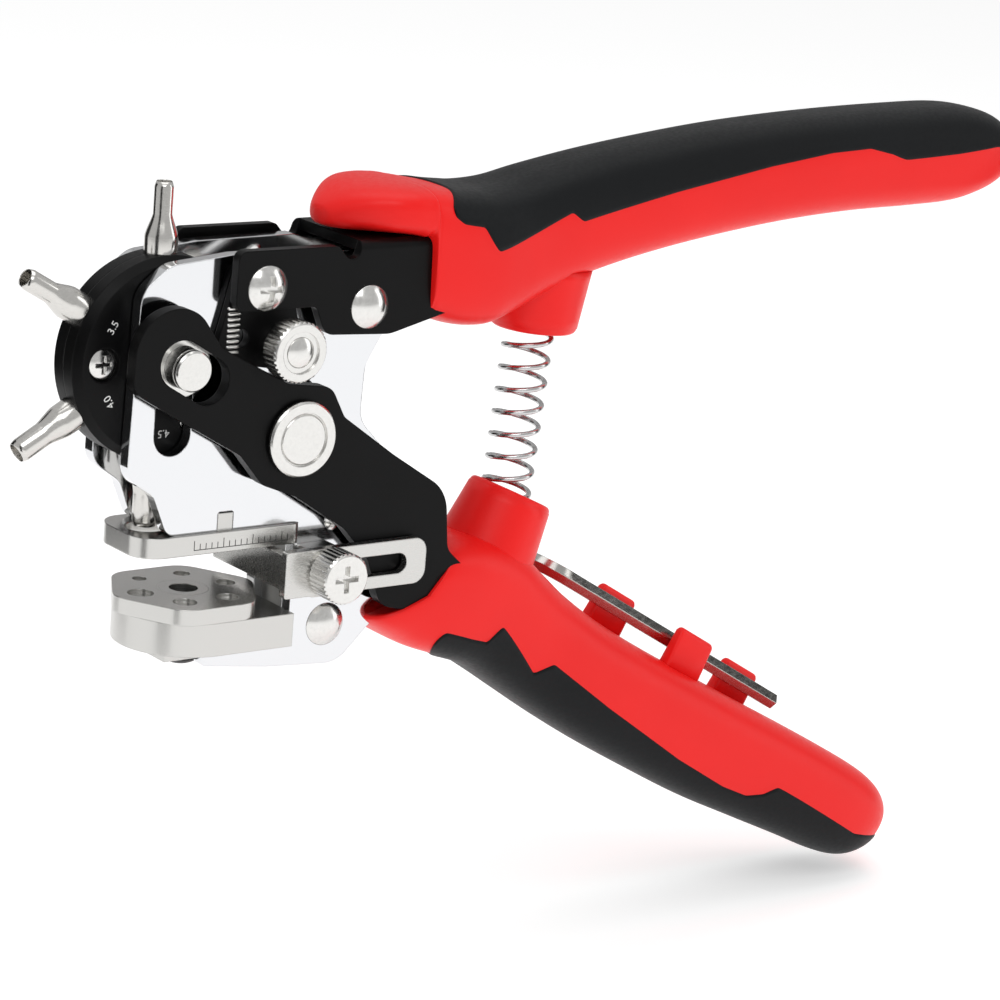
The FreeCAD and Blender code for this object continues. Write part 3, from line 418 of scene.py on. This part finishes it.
def coverSheet(spec, above, along=680, around=72):
    # the grip's own squircle between the zigzag lines of both sides, lifted a little;
    # the lift rises over edge from sunk to proud by a sine, so the rim turns down into the grip
    rows = smoothRows(spec["rows"], 3000)
    zig = np.asarray(spec["zigzag"], float)
    at = np.linspace(zig[0, 0], zig[-1, 0], along)
    order = np.argsort(rows[:, 0])
    top, low, wide, power = (np.interp(at, rows[order, 0], rows[order, k]) for k in (1, 2, 3, 4))
    line = np.interp(at, zig[:, 0], zig[:, 1])
    kernel = np.ones(5) / 5
    line = np.convolve(np.pad(line, 2, mode="edge"), kernel, "valid")
    middle, height = (top + low) / 2, (top - low) / 2
    share = np.clip((line - middle) / height, -0.97, 0.97)
    edgeAngle = np.arcsin(np.sign(share) * np.abs(share) ** (power / 2))
    if above:
        start, stop = edgeAngle, math.pi - edgeAngle
    else:
        start, stop = edgeAngle, -math.pi - edgeAngle
    w = np.linspace(0, 1, around)
    w = 0.5 - 0.5 * np.cos(math.pi * w) * (0.35 + 0.65 * np.abs(np.cos(math.pi * w)) ** 0.3)
    w = (w - w[0]) / (w[-1] - w[0])
    angle = start[:, None] + (stop - start)[:, None] * w[None, :]
    y, z = squircle(angle, power[:, None])
    table = np.array(spec.get("bow", [(0, 0), (1, 0)]), float)
    leans = np.array(spec.get("lean", [(0, 0, 0), (1, 0, 0)]), float)
    station = at[:, None] + np.interp(at, table[:, 0], table[:, 1])[:, None] * (1 - y ** 2)
    top, low, wide, power = (np.interp(station, rows[order, 0], rows[order, k]) for k in (1, 2, 3, 4))
    middle, height = (top + low) / 2, (top - low) / 2
    y, z = squircle(angle, power)
    place = station + np.where(z > 0, *(np.interp(station, leans[:, 0], leans[:, k]) for k in (1, 2))) * z
    reach = np.minimum(w, 1 - w)[None, :] * np.abs(stop - start)[:, None] * (wide + height) / 2
    reach = np.minimum(reach, np.minimum(at - at[0], at[-1] - at)[:, None])
    rise = np.clip(reach / overmould["edge"], 0, 1)
    lift = -overmould["sunk"] + (overmould["proud"] + overmould["sunk"]) * np.sin(rise * math.pi / 2)
    ahead, across = gripFrame(spec.get("tilt", 0))
    side = np.array([0, 1, 0])

    def skin(d):
        # the whole sheet moved d outwards from the grip
        upright = (middle + (height + d) * z)[..., None] * across
        return place[..., None] * ahead + upright + ((wide + d) * y)[..., None] * side

    return skin(lift), skin(-overmould["back"])


def putSheet(name, outer, inner, material, body, slotName, flip):
    # outer and inner grids joined round their rims
    rows, cols = outer.shape[:2]
    count = rows * cols
    top = gridFaces(rows, cols, False)
    low = gridFaces(rows, cols, False, count)[:, ::-1]
    rim = np.concatenate([np.arange(cols - 1), np.arange(rows - 1) * cols + cols - 1,
                          (rows - 1) * cols + np.arange(cols - 1, 0, -1), np.arange(rows - 1, 0, -1) * cols])
    ahead = np.roll(rim, -1)
    wall = np.stack([ahead, rim, rim + count, ahead + count], -1)
    faces = np.concatenate([top, low, wall])
    if flip:
        faces = faces[:, ::-1]
    points = np.concatenate([outer.reshape(-1, 3), inner.reshape(-1, 3)])
    return putMesh(name, points, faces, material, body, slotName)


redUpper = putTube("upperGripRed", gripRings(upperGrip, 420), redPlastic, "frame", "red_plastic", flip=True)
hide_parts("upper_grip")
outer, inner = coverSheet(upperGrip, True)
blackUpper = putSheet("upperGripCover", outer, inner, blackRubber, "frame", "black_rubber", flip=False)
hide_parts("upper_cover")
redLower = putTube("lowerGripRed", gripRings(lowerGrip, 360), redPlastic, "lever", "red_plastic", flip=True)
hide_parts("lower_grip")
outer, inner = coverSheet(lowerGrip, False)
blackLower = putSheet("lowerGripCover", outer, inner, blackRubber, "lever", "black_rubber", flip=True)
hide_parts("lower_cover")
print("grips made")


def revolved(start, way, profile, around=64):
    # profile of (distance along, radius) turned about the line from start along way
    way = np.asarray(way, float) / np.linalg.norm(way)
    sideA = np.cross(way, [0, 1, 0])
    sideA /= np.linalg.norm(sideA)
    sideB = np.cross(way, sideA)
    turn = np.linspace(0, 2 * math.pi, around, endpoint=False)[None, :, None]
    profile = np.asarray(profile, float)
    spoke = np.cos(turn) * sideA + np.sin(turn) * sideB
    along, radius = profile[:, 0][:, None, None], profile[:, 1][:, None, None]
    return np.asarray(start, float) + along * way + radius * spoke


# profile: outside from the grip to the rounded rim, then down the bore
cupShape = {"outer": 9.3, "bore": 7.0, "deep": 6.5, "flare": 0.12}


def cupProfile(length):
    c = cupShape
    arc = np.linspace(0, math.pi, 9)
    mid = (c["outer"] + c["bore"]) / 2
    half = (c["outer"] - c["bore"]) / 2
    rim = [(length - half + half * math.sin(t), mid + half * math.cos(t)) for t in arc]
    flare = [(d, c["outer"] + c["flare"] * (length - d)) for d in np.linspace(0, length - half - 0.1, 8)]
    floor = length - c["deep"]
    return flare + rim + [(floor + 0.6, c["bore"] - 0.15), (floor, c["bore"] - 0.8), (floor, 0.4)]


upperCup = {"end": (94.4, 0, 48.6), "way": (-0.07, 0, -1), "length": 14.0}
lowerCup = {"end": (92.4, 0, 12.6), "way": (0.42, 0, 0.9), "length": 16.0}
for label, cup, body in (("upperSpringCup", upperCup, "frame"), ("lowerSpringCup", lowerCup, "lever")):
    way = np.array(cup["way"]) / np.linalg.norm(cup["way"])
    start = np.array(cup["end"]) - way * cup["length"]
    putTube(label, revolved(start, way, cupProfile(cup["length"])), redPlastic, body, "red_plastic")

# distances from the wheel's centre; each tube's bore in mm names its node
tubes = {"bores": (4.5, 4.0, 3.5, 3.0, 2.5, 2.0), "centre": (0, 0, 49.6), "root": 15.0, "shoulder": 24.2,
         "neck": 28.6, "bevel": 1.1, "tip": 35.2, "base": 3.4, "wall": 0.45, "deep": 9.0}


def putTubes():
    # a stepped cone turned about each spoke of the wheel, its cutting edge bevelled and its bore open;
    # the step's radius goes from base to the tube's outside by a share of straight line and cosine
    c = tubes
    for k, bore in enumerate(c["bores"]):
        angle = math.radians(180 + 60 * k)
        inner, outside = bore / 2, bore / 2 + c["wall"]
        blend = np.linspace(0, 1, 9)
        step = 0.5 - 0.5 * np.cos(math.pi * blend)
        step = 0.7 * blend + 0.3 * step
        cone = [(c["shoulder"] + (c["neck"] - c["shoulder"]) * b, c["base"] + (outside - c["base"]) * t)
                for b, t in zip(blend, step)]
        profile = [(c["root"], 0.5), (c["root"], c["base"] - 0.1), (c["root"] + 0.1, c["base"])] + cone
        tip, foot = c["tip"], c["tip"] - c["deep"]
        profile += [(tip - c["bevel"], outside), (tip, inner + 0.1), (tip, inner), (tip - 0.1, inner - 0.02),
                    (foot, inner - 0.05), (foot - 0.1, inner - 0.1), (foot - 0.1, 0.2)]
        rings = revolved(c["centre"], (math.sin(angle), 0, math.cos(angle)), profile, 48)
        made = putTube("punchTube%d" % round(bore * 10), rings, tubeNickel, "wheel", "bright_steel")
        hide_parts("punch_tube_%d" % round(bore * 10))


putTubes()
print("tubes made")

coil = {"top": (93.8, 0, 52.6), "foot": (90.7, 0, 10.9), "radius": 5.0, "wire": 0.6, "turns": 9.6,
        "closed": 1.0, "tight": 0.22, "low": (90.7, 0, 12.5), "high": (93.8, 0, 51.0)}


def springMesh():
    # a helix whose pitch closes up over the last turn at each end, with a round wire swept along it
    foot, top = np.array(coil["foot"], float), np.array(coil["top"], float)
    way = top - foot
    length = np.linalg.norm(way)
    way /= length
    sideA = np.cross([0, 1, 0], way)
    sideB = np.cross(way, sideA)
    turns, closed = coil["turns"], coil["closed"]
    t = np.linspace(0, turns, int(turns * 44))
    squeeze = np.clip(np.minimum(t, turns - t) / closed, 0, 1)
    rate = coil["tight"] + (1 - coil["tight"]) * squeeze ** 2
    climb = np.concatenate([[0], np.cumsum((rate[1:] + rate[:-1]) / 2)])
    climb = climb / climb[-1] * length
    a = 2 * math.pi * t
    spoke = np.cos(a)[:, None] * sideA + np.sin(a)[:, None] * sideB
    path = foot + climb[:, None] * way + coil["radius"] * spoke
    ahead = np.gradient(path, axis=0)
    ahead /= np.linalg.norm(ahead, axis=1)[:, None]
    across = np.cross(ahead, spoke)
    ring = np.linspace(0, 2 * math.pi, 12, endpoint=False)
    round1, round2 = np.cos(ring)[None, :, None], np.sin(ring)[None, :, None]
    return path[:, None, :] + coil["wire"] * (round1 * spoke[:, None, :] + round2 * across[:, None, :])


wire = putTube("handleSpring", springMesh(), springWire, None, "bright_steel", flip=True)
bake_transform(wire)
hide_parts("spring")
print("spring made")

# the key lies along the lower grip; clips stand beside it in turn, reaches in mm along it
hexKeyRest = {"start": (105.2, 0, -6.2), "half": 1.75}
clips = {"reaches": ((24.0, 1), (44.0, -1), (68.0, 1)), "width": 11.0, "gap": 0.65, "wall": 2.3,
         "above": 3.6, "below": 8.0}


def putClips():
    # a finger's outline in (across, lift), its top a half circle, carried along the grip;
    # runs holds each ring's place along the width and the share its outline is drawn in to
    ahead, lift = gripFrame(lowerGrip["tilt"])
    c = clips
    inside = hexKeyRest["half"] * 1.155 + c["gap"]
    half = c["wall"] / 2
    arc = np.linspace(0, math.pi, 9)
    line = [(half * math.cos(t), c["above"] - half + half * math.sin(t)) for t in arc]
    line = np.array(line + [(-half - 0.3, -c["below"]), (half + 0.9, -c["below"])])
    runs = np.array([(-0.5, 0.55), (-0.49, 0.86), (-0.46, 0.97), (-0.42, 1.0),
                     (0.42, 1.0), (0.46, 0.97), (0.49, 0.86), (0.5, 0.55)])
    for k, (reach, side) in enumerate(c["reaches"]):
        centre = np.array(hexKeyRest["start"]) + ahead * reach
        middle = line.mean(0)
        shape = middle + (line - middle)[None] * runs[:, 1][:, None, None]
        y = side * (inside + half + shape[..., 0])
        rings = centre + (runs[:, 0] * c["width"])[:, None, None] * ahead
        rings = rings + y[..., None] * np.array([0, 1, 0]) + shape[..., 1][..., None] * lift
        putTube("keyClip%d" % (k + 1), rings, redPlastic, "lever", "red_plastic", flip=side > 0)


putClips()
print("clips made")

# printed and etched marks, mm; face is the Y of the surface that they lie on
ruler = {"first": 6.2, "step": 1.4, "count": 17, "low": 10.9, "short": 1.2, "long": 1.9, "line": 0.16,
         "face": -9.3, "proud": 0.03, "sunk": 0.05}
sizeMarks = {"sizes": ("4.5", "4.0", "3.5", "3.0", "2.5", "2.0"), "radius": 15.0, "height": 2.3,
             "thick": 0.04, "face": -5.0, "centre": (0, 49.6)}
latchRibs = {"from": (9.9, 60.6), "to": (9.9, 51.6), "count": 9, "radius": 0.4, "long": 3.2, "face": -10.35}


def bars(boxes):
    # closed boxes from (x0, x1, y0, y1, z0, z1) rows
    b = np.asarray(boxes, float)
    pick = np.array([(i, j, k) for i in (0, 1) for j in (0, 1) for k in (0, 1)])
    points = np.stack([b[:, 0 + pick[:, 0]], b[:, 2 + pick[:, 1]], b[:, 4 + pick[:, 2]]], -1)
    quads = np.array([(0, 1, 3, 2), (4, 6, 7, 5), (0, 4, 5, 1), (2, 3, 7, 6), (0, 2, 6, 4), (1, 5, 7, 3)])
    faces = (quads[None] + 8 * np.arange(len(b))[:, None, None]).reshape(-1, 4)
    return points.reshape(-1, 3), faces


def putRuler():
    c = ruler
    x = c["first"] + c["step"] * np.arange(c["count"])
    tall = np.where(np.arange(c["count"]) % 5 == 0, c["long"], c["short"])
    half = c["line"] / 2
    skin = (c["face"] - c["proud"], c["face"] + c["sunk"])
    rows = [(a - half, a + half, *skin, c["low"], c["low"] + h) for a, h in zip(x, tall)]
    rows.append((x[0] - half, x[-1] + half, *skin, c["low"] - c["line"], c["low"]))
    points, faces = bars(rows)
    putMesh("rulerMarks", points, faces, engraved, "frame", "satin_steel", smooth=False)


def putSizeMarks():
    c = sizeMarks
    for k, size in enumerate(c["sizes"]):
        angle = math.radians(270 - 60 * k)
        text = bpy.data.curves.new("sizeMark", "FONT")
        text.body = size
        text.align_x, text.align_y = "CENTER", "CENTER"
        text.size = c["height"] * mm
        text.extrude = c["thick"] * mm
        holder = bpy.data.objects.new("sizeMarkText", text)
        bpy.context.scene.collection.objects.link(holder)
        bpy.context.view_layer.update()
        data = bpy.data.meshes.new_from_object(holder.evaluated_get(bpy.context.evaluated_depsgraph_get()))
        bpy.data.objects.remove(holder)
        x = c["centre"][0] + c["radius"] * math.cos(angle)
        z = c["centre"][1] + c["radius"] * math.sin(angle)
        stand = Matrix.Rotation(math.radians(90), 4, "X")
        spin = Matrix.Rotation(-(angle - math.pi / 2), 4, "Y")
        data.transform(Matrix.Translation((x * mm, c["face"] * mm, z * mm)) @ spin @ stand)
        data.materials.clear()
        data.materials.append(whiteInk)
        made = bpy.data.objects.new("sizeMark" + size.replace(".", ""), data)
        bpy.context.scene.collection.objects.link(made)
        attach(made, "wheel")


def putLatchRibs():
    # half-sunk round bars across the latch's thumb edge
    c = latchRibs
    t = np.linspace(0, 1, c["count"])[:, None]
    places = np.array(c["from"]) * (1 - t) + np.array(c["to"]) * t
    turn = np.linspace(0, 2 * math.pi, 12, endpoint=False)
    nose = [(0, 0.3), (0.15, 0.8), (0.4, 1.0)]
    profile = np.array(nose + [(c["long"] - along, share) for along, share in nose[::-1]])
    for k, (x, z) in enumerate(places):
        wide = profile[:, 1][:, None] * c["radius"]
        along = x + profile[:, 0][:, None] + 0 * turn
        rings = np.stack([along, c["face"] + wide * np.cos(turn), z + wide * np.sin(turn)], -1)
        putTube("latchRib%d" % (k + 1), rings, brightNickel, "latch", "bright_steel", flip=True)


putRuler()
putSizeMarks()
putLatchRibs()
print("marks made")

# floorDrop is in mm: the tool is shown hovering a little above its floor
studio = {"floorDrop": 5.0, "world": 0.6, "floorGlow": 0.34, "floorHalf": 6}
# name, bearing in degrees, width, bottom and top in metres, and how light it is
flags = [("flagBackLeft", 130, 0.22, -0.08, 0.25, 0.02), ("flagLeft", 204, 0.11, -0.08, 0.25, 0.02),
         ("flagRight", -14, 0.14, -0.08, 0.25, 0.02), ("flagRear", 54, 0.42, 0.03, 0.3, 0.42)]
flagCircle = {"middleX": 0.08, "reach": 0.34}
# name, place, aim, size in metres and power in watts
lamps = [("keyLight", (-0.5, -0.9, 1.1), (0.08, 0, 0.02), (0.9, 0.6), 4.5),
         ("topLight", (0.15, 0.1, 1.2), (0.1, 0, 0), (1.0, 1.0), 4.0),
         ("sideLight", (1.2, -0.6, 0.4), (0.1, 0, 0.02), (0.4, 1.0), 2.0)]


def areaLight(name, place, target, size, power):
    data = bpy.data.lights.new(name, "AREA")
    data.shape = "RECTANGLE"
    data.size, data.size_y = size
    data.energy = power
    made = bpy.data.objects.new(name, data)
    look = Vector(target) - Vector(place)
    made.matrix_world = Matrix.Translation(Vector(place)) @ look.to_track_quat("-Z", "Y").to_matrix().to_4x4()
    bpy.context.scene.collection.objects.link(made)


def setStudio():
    scene = bpy.context.scene
    world = bpy.data.worlds.new("studio")
    world.use_nodes = True
    world.node_tree.nodes["Background"].inputs["Color"].default_value = (1, 1, 1, 1)
    world.node_tree.nodes["Background"].inputs["Strength"].default_value = studio["world"]
    scene.world = world
    scene.view_settings.view_transform = "Standard"
    low = cadBox[0][2] - studio["floorDrop"] * mm
    half = studio["floorHalf"]
    floor = bpy.data.meshes.new("floor")
    square = ((-1, -1), (1, -1), (1, 1), (-1, 1))
    floor.from_pydata([(x * half, y * half, low) for x, y in square], [], [(0, 1, 2, 3)])
    made = bpy.data.objects.new("floor", floor)
    scene.collection.objects.link(made)
    sweep = startMaterial("paperSweep", {
        "Base Color": linear("#F6F6F6"), "Roughness": 0.95, "Specular IOR Level": 0.0,
        "Emission Color": (1, 1, 1, 1), "Emission Strength": studio["floorGlow"]})
    made.data.materials.append(sweep[0])
    for name, turn, wide, low, high, light in flags:
        # an upright card beside the object, seen only in gloss
        a = math.radians(turn)
        reach = flagCircle["reach"]
        centre = Vector((flagCircle["middleX"] + reach * math.cos(a), reach * math.sin(a), 0))
        across = Vector((-math.sin(a), math.cos(a), 0)) * wide / 2
        corners = ((-1, low), (1, low), (1, high), (-1, high))
        card = bpy.data.meshes.new(name)
        card.from_pydata([centre + s * across + Vector((0, 0, z)) for s, z in corners], [], [(3, 2, 1, 0)])
        made = bpy.data.objects.new(name, card)
        scene.collection.objects.link(made)
        cloth = startMaterial(name + "Cloth", {
            "Base Color": (light, light, light, 1), "Roughness": 1.0, "Specular IOR Level": 0.0})
        card.materials.append(cloth[0])
        made.visible_camera = made.visible_diffuse = made.visible_shadow = False
    for lamp in lamps:
        areaLight(*lamp)


setStudio()
print("studio set")
